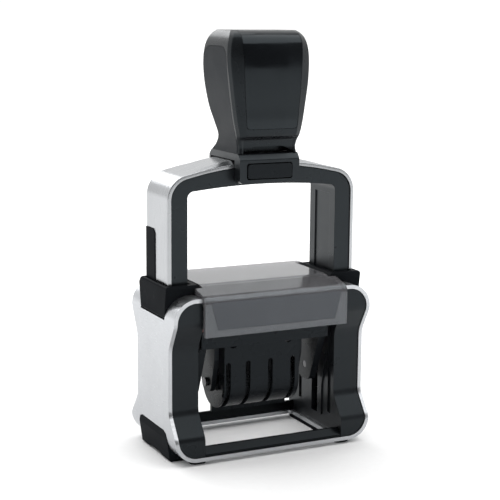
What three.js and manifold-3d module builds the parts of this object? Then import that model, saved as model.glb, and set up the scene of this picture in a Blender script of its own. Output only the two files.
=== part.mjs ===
// Self-inking rotary date stamp: an aluminium-clad housing, a sprung bow with a handle, and a die
// carriage that turns over as the bow is pressed down.
// Millimetres. X is the width, Y the depth (the front is -Y), Z is up. The origin is on the table
// plane, under the middle of the stamp. The stamp is shown at rest: bow up, die against the ink pad.

import * as THREE from 'three';
import { mergeVertices } from 'three/addons/utils/BufferGeometryUtils.js';
import Module from 'manifold-3d';

const wasm = await Module();
wasm.setup();

// ---------------------------------------------------------------- driving dimensions

const GAP = 0.12;                 // between pieces that are fastened to each other
const LOOSE = 0.4;                // between a fixed piece and a piece that moves past it
const ARC_STEPS = 6;              // facets of a rounded corner
const COIL_WIRE_SIDES = 5;
const COIL_STEPS_PER_TURN = 8;

// Housing
const HALF_WIDTH = 37;
const BASE_HALF_DEPTH = 20;
const WAIST_HALF_DEPTH = 14;
const SHOULDER_HALF_DEPTH = 19;
const SHEET = 1.3;                // aluminium sheet
const SHELL_BOTTOM = 1.3;
const SHELL_TOP = 56.6;
const SHELL_CORNER = 8;
const WINDOW_HALF_WIDTH = 26;     // between the black side frames
const FRONT_SILL_TOP = 5.5;
const REAR_SILL_TOP = 6.3;
const SILL_INNER = 16.1;
const WELL_INNER = 27.6;          // the leg wells in the side frames
const WELL_HALF_DEPTH = 10.5;
const WELL_FLOOR = 4.6;
const FRAME_INSET = 0.4;          // the side frames sit this far behind the sheet's edge
const CLIP_INNER = 30;
const FOOT_INNER = 24.9;
const FOOT_OUTER = 30.3;

// Ink cartridge and index cover
const COVER_HALF_WIDTH = 26.7;
const COVER_FRONT = 20.9;
const COVER_REAR = 18.6;
const COVER_TOP = 59.5;
const COVER_SKIRT_BOTTOM = 43.7;
const COVER_WALL = 1.6;
const COVER_SHOULDER = 57;         // where the sloping front of the top meets the face
const COVER_SLOPE_START = -9.5;
const COVER_END_BOTTOM = 54.8;
const COVER_FRONT_RADIUS = 3;
const COVER_REAR_RADIUS = 3;
const CARD_THICKNESS = 0.8;
const CARD_HALF_WIDTH = 22.4;
const DECK_HALF_WIDTH = 25.1;
const DECK_BOTTOM = 53.2;
const CARTRIDGE_HALF_WIDTH = 25.4;
const CARTRIDGE_BOTTOM = 47.1;
const CARTRIDGE_TOP = 52.6;
const FELT_FACE = 46.75;
const FELT_TOP = 51;

// Collars round the bow's legs
const COLLAR_INNER = 24.2;
const COLLAR_BOTTOM = 48.8;
const COLLAR_TOP = 59.9;
const COLLAR_LOW_HALF_DEPTH = 10.4;
const COLLAR_HIGH_HALF_DEPTH = 12;

// Bow
const LEG_INNER = 27.9;
const CORE_OUTER = 33.75;
const LEG_OUTER = 35.15;
const LEG_HALF_DEPTH = 9.4;
const CORE_HALF_DEPTH = 9.0;
const LEG_BOTTOM = 34.6;
const BOW_SHEET_BOTTOM = 50;
const STRIP_TOP = 77.3;
const SADDLE_HALF_WIDTH = 11.1;
const SADDLE_BOTTOM = 92.8;
const SADDLE_TOP = 102.75;
const SADDLE_FRONT = -13.7;
const SADDLE_REAR = 10.9;
const BUTTON_HALF_WIDTH = 8.2;
const BUTTON_BOTTOM = 94.5;
const BUTTON_TOP = 99.4;
const HANDLE_TOP = 143.3;
const GRIP_TOP = 138;
const PANEL_BOTTOM = 111.1;

// Return springs and the lock button's spring
const SPRING_X = 31;
const SPRING_Y = 5;
const SPRING_BORE_RADIUS = 1.95;
const SPRING_RADIUS = 1.3;
const SPRING_WIRE = 0.7;
const SPRING_TURNS = 12;
const SPRING_BORE_TOP = 78;
const LOCK_SPRING_Z = 95.7;
const LOCK_SPRING_INNER = -5.4;

// Die carriage, in its own frame: the origin is on the pivot and the die faces +Z
const PIVOT_HEIGHT = 37.7;
const DIE_FACE = 8;
const DIE_HALF_WIDTH = 24.5;
const DIE_HALF_DEPTH = 13;
const RUBBER = 1.8;
const PLATE_BOTTOM = 3.6;
const CHEEK_INNER = 21.6;
const CHEEK_OUTER = 24.2;
const PIN_RADIUS = 1.8;
const PIN_HOLE_RADIUS = 1.9;
const PIN_END = 31.6;
const WHEEL_AXIS = -15;
const WHEEL_RADIUS = 8.05;
const WHEEL_TEETH = 24;
const WHEEL_THICKNESS = 1.5;
const HUB_RADIUS = 5.5;
const SHAFT_RADIUS = 1.5;
const SHAFT_HOLE_RADIUS = 1.58;
const SHAFT_HALF_LENGTH = 17.8;
const BEARING_INNER = 15.1;
const BEARING_OUTER = 16.9;
const WHEEL_COVER_HALF_WIDTH = 14.4;
const WHEEL_COVER_OUTER = 9.4;
const WHEEL_COVER_INNER = 8.3;
const WHEEL_COVER_LIP = 2.2;
const WHEEL_COVER_END = 0.45;      // thickness of the cover's end plates
const WHEEL_COVER_TOP = -0.4;
const SLOT_TOP = -6.6;
const SLOT_HALF_WIDTH = 0.9;
const DATE_WINDOW = { low: -12.6, high: 11.6, halfDepth: 3.4, frameHalfDepth: 4.2 };
// Each setting wheel's thumb rim stands in a slot of the wheel cover, beside its band.
const WHEELS = [
  { name: 'day', rim: -12.9, bandLow: -11.9, bandHigh: -7.0 },
  { name: 'month', rim: -5.4, bandLow: -4.4, bandHigh: 2.1 },
  { name: 'decade', rim: 3.2, bandLow: 4.2, bandHigh: 7.3 },
  { name: 'year', rim: 11.9, bandLow: 7.7, bandHigh: 10.9 },
];

// ---------------------------------------------------------------- finishes

function finish(color, roughness, metalness) {
  return new THREE.MeshStandardMaterial({ color, roughness, metalness });
}
const aluminium = () => finish(0xcfd2d3, 0.34, 0.9);
const mattePlastic = () => finish(0x2e3033, 0.55, 0);
const gripPlastic = () => finish(0x3a3d40, 0.7, 0);
const glossPlastic = () => finish(0x101113, 0.12, 0);
const smokePlastic = () => finish(0x54525a, 0.15, 0);
const cardBoard = () => finish(0x3c3b3f, 0.8, 0);
const rubber = () => finish(0x7d3b34, 0.75, 0);
const bandRubber = () => finish(0x35363a, 0.8, 0);
const blueFelt = () => finish(0x1e2a58, 0.95, 0);
const redFelt = () => finish(0x7a1f22, 0.95, 0);
const steel = () => finish(0xb4b6b8, 0.3, 1);

// ---------------------------------------------------------------- solids

function toSolid(geometry) {
  geometry.deleteAttribute('normal');
  geometry.deleteAttribute('uv');
  const merged = mergeVertices(geometry, 1e-4);
  const vertProperties = new Float32Array(merged.attributes.position.array);
  const triVerts = new Uint32Array(merged.index.array);
  return new wasm.Manifold(new wasm.Mesh({ numProp: 3, vertProperties, triVerts }));
}

function toGeometry(solid) {
  const mesh = solid.getMesh();
  const geometry = new THREE.BufferGeometry();
  geometry.setAttribute('position', new THREE.BufferAttribute(mesh.vertProperties, 3));
  geometry.setIndex(new THREE.BufferAttribute(mesh.triVerts, 1));
  return geometry;
}

const unite = (first, ...others) => others.reduce((sum, solid) => sum.add(solid), first);
const cut = (first, ...others) => others.reduce((rest, solid) => rest.subtract(solid), first);

// A closed outline from corners [x, y, radius], with true arcs at the corners that have a radius.
function rounded(corners, steps = ARC_STEPS) {
  const points = [];
  corners.forEach(([x, y, radius = 0], i) => {
    const corner = new THREE.Vector2(x, y);
    if (radius === 0) {
      points.push(corner);
      return;
    }
    const before = corners[(i + corners.length - 1) % corners.length];
    const after = corners[(i + 1) % corners.length];
    const toBefore = new THREE.Vector2(before[0] - x, before[1] - y).normalize();
    const toAfter = new THREE.Vector2(after[0] - x, after[1] - y).normalize();
    const halfAngle = Math.acos(toBefore.dot(toAfter)) / 2;
    const towards = toBefore.clone().add(toAfter).normalize();
    const centre = corner.clone().addScaledVector(towards, radius / Math.sin(halfAngle));
    const reach = radius / Math.tan(halfAngle);
    const start = corner.clone().addScaledVector(toBefore, reach).sub(centre);
    const end = corner.clone().addScaledVector(toAfter, reach).sub(centre);
    const sweep = Math.atan2(start.cross(end), start.dot(end));
    for (let k = 0; k <= steps; k += 1) {
      points.push(start.clone().rotateAround(new THREE.Vector2(), sweep * k / steps).add(centre));
    }
  });
  return points;
}

const mirrorCorners = (corners) => corners.map(([x, y, r]) => [-x, y, r]);

function extrude(points, depth, holes = []) {
  const shape = new THREE.Shape(points);
  holes.forEach((hole) => shape.holes.push(new THREE.Path(hole)));
  return new THREE.ExtrudeGeometry(shape, { depth, bevelEnabled: false });
}

// An outline in X and Z, swept from y0 to y1.
function alongY(points, y0, y1) {
  return toSolid(extrude(points, y1 - y0).rotateX(Math.PI / 2).translate(0, y1, 0));
}

// An outline in Y and Z, swept from x0 to x1.
function alongX(points, x0, x1, holes = []) {
  const turn = new THREE.Matrix4().makeBasis(
    new THREE.Vector3(0, 1, 0), new THREE.Vector3(0, 0, 1), new THREE.Vector3(1, 0, 0));
  const [low, high] = [Math.min(x0, x1), Math.max(x0, x1)];
  return toSolid(extrude(points, high - low, holes).applyMatrix4(turn).translate(low, 0, 0));
}

// An outline in X and Y, swept from z0 to z1.
function alongZ(points, z0, z1) {
  return toSolid(extrude(points, z1 - z0).translate(0, 0, z0));
}

// A box between two pairs of X, Y and Z limits. The X limits may be in either order.
function box([x0, x1], [y0, y1], [z0, z1]) {
  const geometry = new THREE.BoxGeometry(Math.abs(x1 - x0), y1 - y0, z1 - z0);
  return toSolid(geometry.translate((x0 + x1) / 2, (y0 + y1) / 2, (z0 + z1) / 2));
}

function rodAlongX(radius, x0, x1, y, z, sides = 24) {
  const geometry = new THREE.CylinderGeometry(radius, radius, Math.abs(x1 - x0), sides);
  return toSolid(geometry.rotateZ(Math.PI / 2).translate((x0 + x1) / 2, y, z));
}

function rodAlongY(radius, y0, y1, x, z, sides = 20) {
  const geometry = new THREE.CylinderGeometry(radius, radius, y1 - y0, sides);
  return toSolid(geometry.translate(x, (y0 + y1) / 2, z));
}

function rodAlongZ(radius, z0, z1, x, y, sides = 20) {
  const geometry = new THREE.CylinderGeometry(radius, radius, z1 - z0, sides);
  return toSolid(geometry.rotateX(Math.PI / 2).translate(x, y, (z0 + z1) / 2));
}

// A closed skin through a row of rings, each a list of [x, y, z] with the same number of points.
function loft(rings) {
  const count = rings[0].length;
  const positions = rings.flat(2);
  const index = [];
  for (let i = 0; i + 1 < rings.length; i += 1) {
    for (let j = 0; j < count; j += 1) {
      const a = i * count + j;
      const b = i * count + (j + 1) % count;
      index.push(a, b, b + count, a, b + count, a + count);
    }
  }
  const last = (rings.length - 1) * count;
  for (let j = 1; j + 1 < count; j += 1) {
    index.push(0, j + 1, j, last, last + j, last + j + 1);
  }
  const geometry = new THREE.BufferGeometry();
  geometry.setAttribute('position', new THREE.Float32BufferAttribute(positions, 3));
  geometry.setIndex(index);
  return toSolid(geometry);
}

// A coil spring of round wire with its axis along +Z from the origin.
class Coil extends THREE.Curve {
  constructor(radius, length, turns) {
    super();
    Object.assign(this, { radius, length, turns });
  }

  getPoint(t, target = new THREE.Vector3()) {
    const angle = t * this.turns * 2 * Math.PI;
    return target.set(this.radius * Math.cos(angle), this.radius * Math.sin(angle), t * this.length);
  }
}

function coilGeometry(radius, wire, length, turns) {
  const section = [];
  for (let i = 0; i < COIL_WIRE_SIDES; i += 1) {
    const angle = 2 * Math.PI * i / COIL_WIRE_SIDES;
    section.push(new THREE.Vector2(wire / 2 * Math.cos(angle), wire / 2 * Math.sin(angle)));
  }
  const extrudePath = new Coil(radius, length, turns);
  const steps = turns * COIL_STEPS_PER_TURN;
  return new THREE.ExtrudeGeometry(new THREE.Shape(section), { steps, extrudePath, bevelEnabled: false });
}

// ---------------------------------------------------------------- assembly groups

const stamp = new THREE.Group();
const housing = new THREE.Group();
const bow = new THREE.Group();
const carriage = new THREE.Group();
stamp.add(housing, bow, carriage);
carriage.position.z = PIVOT_HEIGHT;

function place(group, name, solid, material) {
  const mesh = new THREE.Mesh(solid.isBufferGeometry ? solid : toGeometry(solid), material);
  mesh.name = name;
  group.add(mesh);
  return mesh;
}

const SIDES = [['left', -1], ['right', 1]];

// ---------------------------------------------------------------- housing

// Outline of the housing seen from the front, drawn in by an inset.
function frontOutline(inset, bottom = SHELL_BOTTOM + inset) {
  const x = HALF_WIDTH - inset;
  const top = SHELL_TOP - inset;
  const r = SHELL_CORNER - inset;
  return rounded([[-x, bottom, r], [x, bottom, r], [x, top, r], [-x, top, r]], 8);
}

// Hourglass outline of the housing seen from the side, drawn in by an inset.
function sideOutline(inset) {
  const base = BASE_HALF_DEPTH - inset;
  const waist = WAIST_HALF_DEPTH - inset;
  const shoulder = SHOULDER_HALF_DEPTH - inset;
  const rear = [[base, 0], [base, 9, 4], [waist, 17, 5], [waist, 39.2, 8], [shoulder, 48, 5], [shoulder, 58]];
  return rounded([...rear, ...mirrorCorners(rear).reverse()]);
}

// Outline of a collar seen from the side: wider at the top, with the rear top corner cut off.
function collarOutline(grow) {
  const low = COLLAR_LOW_HALF_DEPTH + grow;
  const high = COLLAR_HIGH_HALF_DEPTH + grow;
  return rounded([
    [-low, COLLAR_BOTTOM - grow], [low, COLLAR_BOTTOM - grow], [high, COLLAR_TOP - 2.2],
    [high - 1.8, COLLAR_TOP + grow], [-high + 0.3, COLLAR_TOP + grow], [-high, COLLAR_TOP - 0.9],
  ]);
}

// Outline of a foot clip's side plate.
function clipOutline(grow) {
  const corners = [[12.4 + grow, -1], [12.7 + grow, 8.1], [11.7 + grow, 9.8 + grow], [9.7, 10.6 + grow]];
  return rounded([...corners, ...mirrorCorners(corners).reverse()]);
}

function outerShell() {
  const sheet = alongY(frontOutline(0), -21, 21).subtract(alongY(frontOutline(SHEET), -22, 22));
  const topGap = box([-COVER_HALF_WIDTH - 0.2, COVER_HALF_WIDTH + 0.2], [-22, 22], [50, 60]);
  const baseOpening = alongZ(rounded([[-25, -16, 1.5], [25, -16, 1.5], [25, 16, 1.5], [-25, 16, 1.5]]), 0, 4);
  const notches = SIDES.flatMap(([, side]) => [
    alongX(collarOutline(GAP), side * 26, side * 40),
    alongX(clipOutline(GAP), side * (CLIP_INNER - GAP), side * 40),
  ]);
  return cut(sheet.intersect(alongX(sideOutline(0), -40, 40)), topGap, baseOpening, ...notches);
}

// Cam rail on a side frame's inner face: it runs down slanted, then straight.
function camRail(side) {
  const path = rounded([[-8.6, 30], [-7.0, 30], [-4.4, 18], [-4.4, 7], [-5.8, 7], [-5.8, 18]]);
  return alongX(path, side * 25.5, side * 26.4);
}

function sideFrame(side) {
  const inside = alongY(frontOutline(SHEET + GAP), -21, 21);
  const block = inside.intersect(alongX(sideOutline(FRAME_INSET), -40, 40));
  const half = box([side * WINDOW_HALF_WIDTH, side * 40], [-22, 22], [0, 60]);
  const well = box([side * WELL_INNER, side * 40], [-WELL_HALF_DEPTH, WELL_HALF_DEPTH], [WELL_FLOOR, 60]);
  const axleSlot = box([side * 25, side * 29], [-2.15, 2.15], [6.9, 40.1]);
  const coverEdge = side * (COVER_HALF_WIDTH + 0.25);
  const skirtRoom = box([0, coverEdge], [-22, -17.6], [43, 60]);
  const endRoom = box([0, coverEdge], [-22, 22], [COVER_END_BOTTOM - 0.2, 60]);
  const collarSeat = alongX(collarOutline(GAP), side * 26, side * 40);
  const shaped = cut(block.intersect(half), well, axleSlot, skirtRoom, endRoom, collarSeat);
  const ledgeHeights = [CARTRIDGE_BOTTOM - 1.2, CARTRIDGE_BOTTOM - 0.15];
  const ledge = box([side * 24.85, side * 26.4], [-16.5, 17], ledgeHeights);
  return unite(shaped, ledge, camRail(side));
}

// The two sills close the base between the side frames.
function sill(end, top) {
  const outer = BASE_HALF_DEPTH - FRAME_INSET;
  const low = SHELL_BOTTOM + SHEET + GAP;
  const corners = [
    [SILL_INNER, low], [outer, low], [outer, low + 0.7], [SILL_INNER + 1.1, top], [SILL_INNER, top],
  ];
  const half = WINDOW_HALF_WIDTH - GAP;
  return alongX(rounded(corners.map(([y, z]) => [end * y, z])), -half, half);
}

// A foot clip: a plate that fills the housing's lower corner, and a strip that the stamp stands on.
function footClip(side) {
  const section = [
    [CLIP_INNER, 0], [35.4, 0], [36, 0.5], [HALF_WIDTH, 8], [HALF_WIDTH, 12], [CLIP_INNER, 12],
  ];
  const wedge = alongY(rounded(section.map(([x, z]) => [side * x, z])), -14, 14);
  const plate = wedge.intersect(alongX(clipOutline(0), side * CLIP_INNER, side * 40));
  const archLineBelow = rounded([[-10, -1], [10, -1], [4, 1.1, 8], [-4, 1.1, 8]]);
  const arch = alongX(archLineBelow, side * (FOOT_OUTER + 1), side * 40);
  const [inner, outer, end, r] = [side * FOOT_INNER, side * FOOT_OUTER, 18.3, 1.5];
  const foot = rounded([[inner, -end, r], [outer, -end, r], [outer, end, r], [inner, end, r]]);
  return cut(plate, alongY(frontOutline(SHEET - 0.02), -15, 15), arch).add(alongZ(foot, 0, 1.18));
}

function collar(side) {
  const front = rounded([
    [27.75, COLLAR_BOTTOM], [HALF_WIDTH, COLLAR_BOTTOM], [HALF_WIDTH, COLLAR_TOP, 0.6], [25.6, COLLAR_TOP],
    [COLLAR_INNER, COLLAR_TOP - 1.5], [COLLAR_INNER, 53.6], [27.75, 53.6],
  ].map(([x, z, r]) => [side * x, z, r]));
  const block = alongY(front, -13, 13).intersect(alongX(collarOutline(0), side * 20, side * 40));
  const passage = box([side * (LEG_INNER - 0.2), side * 35.75], [-9.75, 9.75], [48, 62]);
  const rim = box([side * (LEG_INNER - 0.8), side * 36.1], [-10.1, 10.1], [COLLAR_TOP - 0.9, 62]);
  return cut(block, passage, rim);
}

// ---------------------------------------------------------------- index cover, card and ink cartridge

// Outline of the cover's outer face seen from the side, drawn in by an inset; open at the bottom.
function coverLine(inset, frontBottom, rearBottom) {
  const front = -COVER_FRONT + inset;
  const rear = COVER_REAR - inset;
  const top = COVER_TOP - inset;
  return [
    [front, frontBottom], [front, COVER_SHOULDER - inset, COVER_FRONT_RADIUS - inset],
    [COVER_SLOPE_START, top, 6], [rear, top, COVER_REAR_RADIUS - inset], [rear, rearBottom],
  ];
}

function collarRoom(inner) {
  const half = COLLAR_HIGH_HALF_DEPTH + 0.35;
  return SIDES.map(([, side]) => box([side * inner, side * 30], [-half, half], [40, 62]));
}

function indexCover() {
  const outer = coverLine(0, COVER_SKIRT_BOTTOM, COVER_END_BOTTOM);
  const inner = coverLine(COVER_WALL, COVER_SKIRT_BOTTOM, COVER_END_BOTTOM);
  const skin = alongX(rounded([...outer, ...inner.reverse()]), -COVER_HALF_WIDTH, COVER_HALF_WIDTH);
  const ends = SIDES.map(([, side]) => {
    const plate = alongX(rounded(coverLine(0, 45, 45)), side * 25.3, side * COVER_HALF_WIDTH);
    return plate.intersect(box([-40, 40], [-22, 22], [COVER_END_BOTTOM, 60]));
  });
  return cut(unite(skin, ...ends), ...collarRoom(23.95));
}

function indexCard() {
  const depth = COVER_WALL + 0.2;
  const outer = coverLine(depth, 45.2, 57).slice(0, 3);
  const inner = coverLine(depth + CARD_THICKNESS, 45.2, 57).slice(0, 3);
  const rear = 12;
  const top = COVER_TOP - depth;
  const line = rounded([...outer, [rear, top], [rear, top - CARD_THICKNESS], ...inner.reverse()]);
  return alongX(line, -CARD_HALF_WIDTH, CARD_HALF_WIDTH);
}

function topDeck() {
  const depth = COVER_WALL + CARD_THICKNESS + LOOSE;
  const outer = coverLine(depth, 44.3, DECK_BOTTOM).slice(0, 3);
  const rear = COVER_REAR - depth;
  const skirtInner = -16.9;
  const line = [
    ...outer, [rear, COVER_TOP - depth], [rear, DECK_BOTTOM], [skirtInner, DECK_BOTTOM], [skirtInner, 44.3],
  ];
  return cut(alongX(rounded(line), -DECK_HALF_WIDTH, DECK_HALF_WIDTH), ...collarRoom(23.8));
}

function inkTray() {
  const half = CARTRIDGE_HALF_WIDTH;
  const tray = box([-half, half], [-16.6, 17.5], [CARTRIDGE_BOTTOM, CARTRIDGE_TOP]);
  const gripLine = rounded([[-16, 17], [16, 17], [16, COVER_FRONT, 3], [-16, COVER_FRONT, 3]]);
  const grip = alongZ(gripLine, CARTRIDGE_BOTTOM + 0.7, CARTRIDGE_TOP);
  const fingerGroove = rodAlongX(1.6, -17, 17, 19.4, CARTRIDGE_BOTTOM + 0.3, 20);
  return cut(tray.add(grip), box([-24.2, 24.2], [-14.6, 14.6], [45, 51.2]), fingerGroove);
}

function dateFelt(grow) {
  const margin = 0.4 + grow;
  const half = 3.5 + grow;
  return box([DATE_WINDOW.low - margin, DATE_WINDOW.high + margin], [-half, half], [FELT_FACE, FELT_TOP]);
}

const textFelt = () => cut(box([-24, 24], [-14.4, 14.4], [FELT_FACE, FELT_TOP]), dateFelt(0.3));

// ---------------------------------------------------------------- bow

const ARCH_SPAN = 24.5;
const SPAN_STEP = 3.5;
const RIDGE = 1.3;

// Height of the arch over x for the core's underside, the core's back and the sheet's edge and ridge.
const undersideHeight = (x) => 92.1 - 0.0021 * x * x;
const coreHeight = (x) => 98.2 - 0.0042 * x * x;
const sheetHeight = (x) => 99.75 - 0.0043 * x * x;
const ridgeHeight = (x) => sheetHeight(x) + Math.max(0, RIDGE * (1 - (x / ARCH_SPAN) ** 2));

// Corners of an arch line from the right foot over the top to the left foot.
function archLine(legX, foot, height, radius) {
  const corners = [[legX, foot], [legX, height(legX - 1), radius]];
  for (let x = ARCH_SPAN; x >= -ARCH_SPAN; x -= SPAN_STEP) {
    corners.push([x, height(x)]);
  }
  corners.push([-legX, height(legX - 1), radius], [-legX, foot]);
  return corners;
}

function bowCore() {
  const outer = archLine(CORE_OUTER, LEG_BOTTOM, coreHeight, 7.5);
  const inner = archLine(LEG_INNER, LEG_BOTTOM, undersideHeight, 2.4);
  const arch = alongY(rounded([...outer, ...inner.reverse()]), -CORE_HALF_DEPTH, CORE_HALF_DEPTH);
  const legCuts = SIDES.flatMap(([, side]) => [
    rodAlongZ(SPRING_BORE_RADIUS, LEG_BOTTOM - 1, SPRING_BORE_TOP, side * SPRING_X, SPRING_Y),
    rodAlongX(PIN_HOLE_RADIUS, side * 27, side * (PIN_END + 0.4), 0, PIVOT_HEIGHT),
    box([side * 27, side * (LEG_INNER + 0.4)], [-5.2, 5.2], [42, 87]),
  ]);
  return cut(arch, rodAlongY(1.7, -10, LOCK_SPRING_INNER + 0.2, 0, LOCK_SPRING_Z), ...legCuts);
}

// Wedge that takes the square edge off the sheet's ridge, in front (end = -1) or behind (end = 1).
function ridgeBevel(end) {
  const rings = [];
  for (let x = -ARCH_SPAN; x <= ARCH_SPAN; x += SPAN_STEP) {
    const edge = [x, end * (LEG_HALF_DEPTH + 0.01), sheetHeight(x)];
    const crest = [x, end * 6.2, ridgeHeight(x) + 0.01];
    const corners = [edge, crest, [x, end * 6.2, 110], [x, end * 10, 110], [x, end * 10, sheetHeight(x)]];
    rings.push(end > 0 ? corners.reverse() : corners);
  }
  return loft(rings);
}

function stripZone(side, grow) {
  const front = 1.4 - grow;
  const top = STRIP_TOP + grow;
  const outline = rounded([[front, 40], [10, 40], [10, top], [front + 1.2, top], [front, top - 1.6]]);
  return alongX(outline, side * (34.1 - grow), side * 37);
}

function bowSheet() {
  const outer = archLine(LEG_OUTER, BOW_SHEET_BOTTOM, ridgeHeight, 9);
  const inner = archLine(CORE_OUTER + GAP, BOW_SHEET_BOTTOM, (x) => coreHeight(x) + GAP, 7.5 + GAP);
  const sheet = alongY(rounded([...outer, ...inner.reverse()], 8), -LEG_HALF_DEPTH, LEG_HALF_DEPTH);
  return cut(sheet, ridgeBevel(-1), ridgeBevel(1), stripZone(-1, GAP), stripZone(1, GAP));
}

function bowStrip(side) {
  const limits = box([side * 30, side * 35.45], [0, LEG_HALF_DEPTH], [BOW_SHEET_BOTTOM, 90]);
  return stripZone(side, 0).intersect(limits);
}

// Corners of the room for the arch under the saddle, which follows the sheet's ridge.
function saddleSeat() {
  const corners = [[-12, 90], [12, 90]];
  for (let x = 12; x >= -12; x -= 2) {
    corners.push([x, ridgeHeight(x) + 0.3]);
  }
  return corners;
}

// The saddle straddles the arch and carries the handle and the lock button.
function saddle() {
  const half = SADDLE_HALF_WIDTH;
  const front = rounded([
    [-half, SADDLE_BOTTOM, 1.4], [half, SADDLE_BOTTOM, 1.4], [half, SADDLE_TOP], [-half, SADDLE_TOP],
  ]);
  const side = rounded([
    [SADDLE_FRONT, SADDLE_BOTTOM], [SADDLE_REAR, SADDLE_BOTTOM], [SADDLE_REAR, SADDLE_TOP - 1.8],
    [SADDLE_REAR - 1.9, SADDLE_TOP], [SADDLE_FRONT + 1.5, SADDLE_TOP], [SADDLE_FRONT, SADDLE_TOP - 1.9],
  ]);
  const block = alongY(front, SADDLE_FRONT, SADDLE_REAR).intersect(alongX(side, -half, half));
  const archRoom = alongY(rounded(saddleSeat()), -LEG_HALF_DEPTH - GAP, LEG_HALF_DEPTH + GAP);
  const buttonHole = buttonFace(0.15, SADDLE_FRONT - 1, -12);
  const buttonRoom = box([-9.6, 9.6], [-12.4, -9], [BUTTON_BOTTOM - 0.8, BUTTON_TOP + 0.8]);
  return cut(block, archRoom, buttonHole, buttonRoom);
}

function buttonFace(grow, y0, y1) {
  const x = BUTTON_HALF_WIDTH + grow;
  const low = BUTTON_BOTTOM - grow;
  const high = BUTTON_TOP + grow;
  return alongY(rounded([[-x, low, 0.6], [x, low, 0.6], [x, high, 0.6], [-x, high, 0.6]]), y0, y1);
}

function lockButton() {
  const flangeBack = -12.5 + 0.3 + 0.9;
  const flange = box([-9.2, 9.2], [-12.2, flangeBack], [BUTTON_BOTTOM - 0.5, BUTTON_TOP + 0.5]);
  return buttonFace(0, SADDLE_FRONT - 0.35, -12).add(flange);
}

// ---------------------------------------------------------------- handle

// Level sections of the handle: height, half width, front and rear of the flat side, half width of
// the front panel, front and rear of the middle.
const HANDLE_SECTIONS = [
  [103, 11.0, -12.0, 9.0, 9.4, -12.7, 10.4],
  [104.8, 10.8, -11.7, 6.3, 9.2, -12.3, 8.6],
  [107.2, 11.2, -12.2, 3.7, 9.2, -12.8, 6.4],
  [109.1, 11.6, -13.1, 3.1, 9.3, -14.9, 5.8],
  [113.2, 12.5, -13.3, 4.5, 9.6, -15.5, 7.2],
  [118.2, 13.3, -13.3, 6.8, 9.9, -15.6, 9.4],
  [125.8, 14.3, -13.4, 8.2, 10.4, -15.8, 10.8],
  [132.5, 14.9, -12.9, 8.0, 10.8, -15.8, 10.8],
  [137.5, 14.7, -12.4, 7.3, 11.0, -15.4, 10.2],
  [140.5, 13.9, -11.6, 6.2, 11.0, -14.4, 8.8],
  [142.3, 12.9, -10.3, 4.8, 10.8, -12.6, 7.0],
  [HANDLE_TOP, 11.9, -8.6, 3.4, 10.0, -10.2, 5.0],
];

// One level ring of the handle, counter-clockwise from the front right, narrowed by an inset in x.
function handleRing([z, width, sideFront, sideRear, panel, front, rear], inset) {
  const w = width - inset;
  const edge = Math.min(panel, w - 0.8);
  const right = [
    [edge * 0.5, front], [edge, front + 0.25], [w - 0.5, sideFront - 0.7], [w, sideFront + 1],
    [w, (sideFront + sideRear) / 2], [w, sideRear], [w - 1.4, sideRear + 1.6],
    [w * 0.65, rear - 0.5], [w * 0.33, rear],
  ];
  const left = right.map(([x, y]) => [-x, y]).reverse();
  return [...right, ...left].map(([x, y]) => [x, y, z]);
}

function handleForm(inset = 0, back = 0, down = 0) {
  const rings = HANDLE_SECTIONS.map((section) => handleRing(section, inset));
  return loft(rings.map((ring) => ring.map(([x, y, z]) => [x, y + back, z - down])));
}

// Space of the front panel, which runs over the front and the upper edge of the handle.
function panelZone(grow) {
  const corners = [
    [9.2 + grow, PANEL_BOTTOM - grow], [10.2 + grow, 124], [10.75 + grow, 138.5], [10.75 + grow, 150],
  ];
  const outline = rounded([...corners, ...mirrorCorners(corners).reverse()]);
  return alongY(outline, -20, -6.5 + grow);
}

function frontPanel() {
  return handleForm().intersect(panelZone(0)).subtract(handleForm(-1, 1.5, 1.1));
}

// Space of a side grip: the flat side of the handle below its shoulder.
function gripZone(side, grow) {
  const top = GRIP_TOP + grow;
  const front = -10.9 - grow;
  const rear = 7.6 + grow;
  const outline = rounded([[front, 100], [rear, 100], [rear, top, 5], [front, top, 5]]);
  return alongX(outline, side * 5, side * 20).subtract(handleForm(1.6 + grow));
}

const sideGrip = (side) => handleForm().intersect(gripZone(side, 0));

function handleCore() {
  const panelRoom = panelZone(GAP).subtract(handleForm(-1, 1.5 + GAP, 1.1 + GAP));
  const recess = rounded([
    [-9.4, 102.5], [9.4, 102.5], [9.4, 103.5], [5.5, 105.1, 6], [-5.5, 105.1, 6], [-9.4, 103.5],
  ]);
  return cut(handleForm(), panelRoom, gripZone(-1, GAP), gripZone(1, GAP), alongY(recess, -16, -7));
}

// ---------------------------------------------------------------- die carriage

const dateOpening = (halfDepth) => box([DATE_WINDOW.low, DATE_WINDOW.high], [-halfDepth, halfDepth], [0, 10]);

function textPlate() {
  const depth = [-DIE_HALF_DEPTH, DIE_HALF_DEPTH];
  const plate = box([-DIE_HALF_WIDTH, DIE_HALF_WIDTH], depth, [DIE_FACE - RUBBER, DIE_FACE]);
  return plate.subtract(dateOpening(DATE_WINDOW.halfDepth));
}

// A tapered side cheek with a rounded lower end.
function cheek(side) {
  const rear = [[3.4, -18.2, 3], [10.8, 0.4], [DIE_HALF_DEPTH - 0.7, PLATE_BOTTOM + 0.5]];
  const outline = rounded([...rear, ...mirrorCorners(rear).reverse()]);
  return alongX(outline, side * CHEEK_INNER, side * CHEEK_OUTER);
}

// A bearing plate for the wheel shaft.
function bearing(side) {
  const rear = [[3.2, -18.3, 3], [6.5, -6], [6.5, PLATE_BOTTOM + 0.5]];
  const outline = rounded([...rear, ...mirrorCorners(rear).reverse()]);
  return alongX(outline, side * BEARING_INNER, side * BEARING_OUTER);
}

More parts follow.
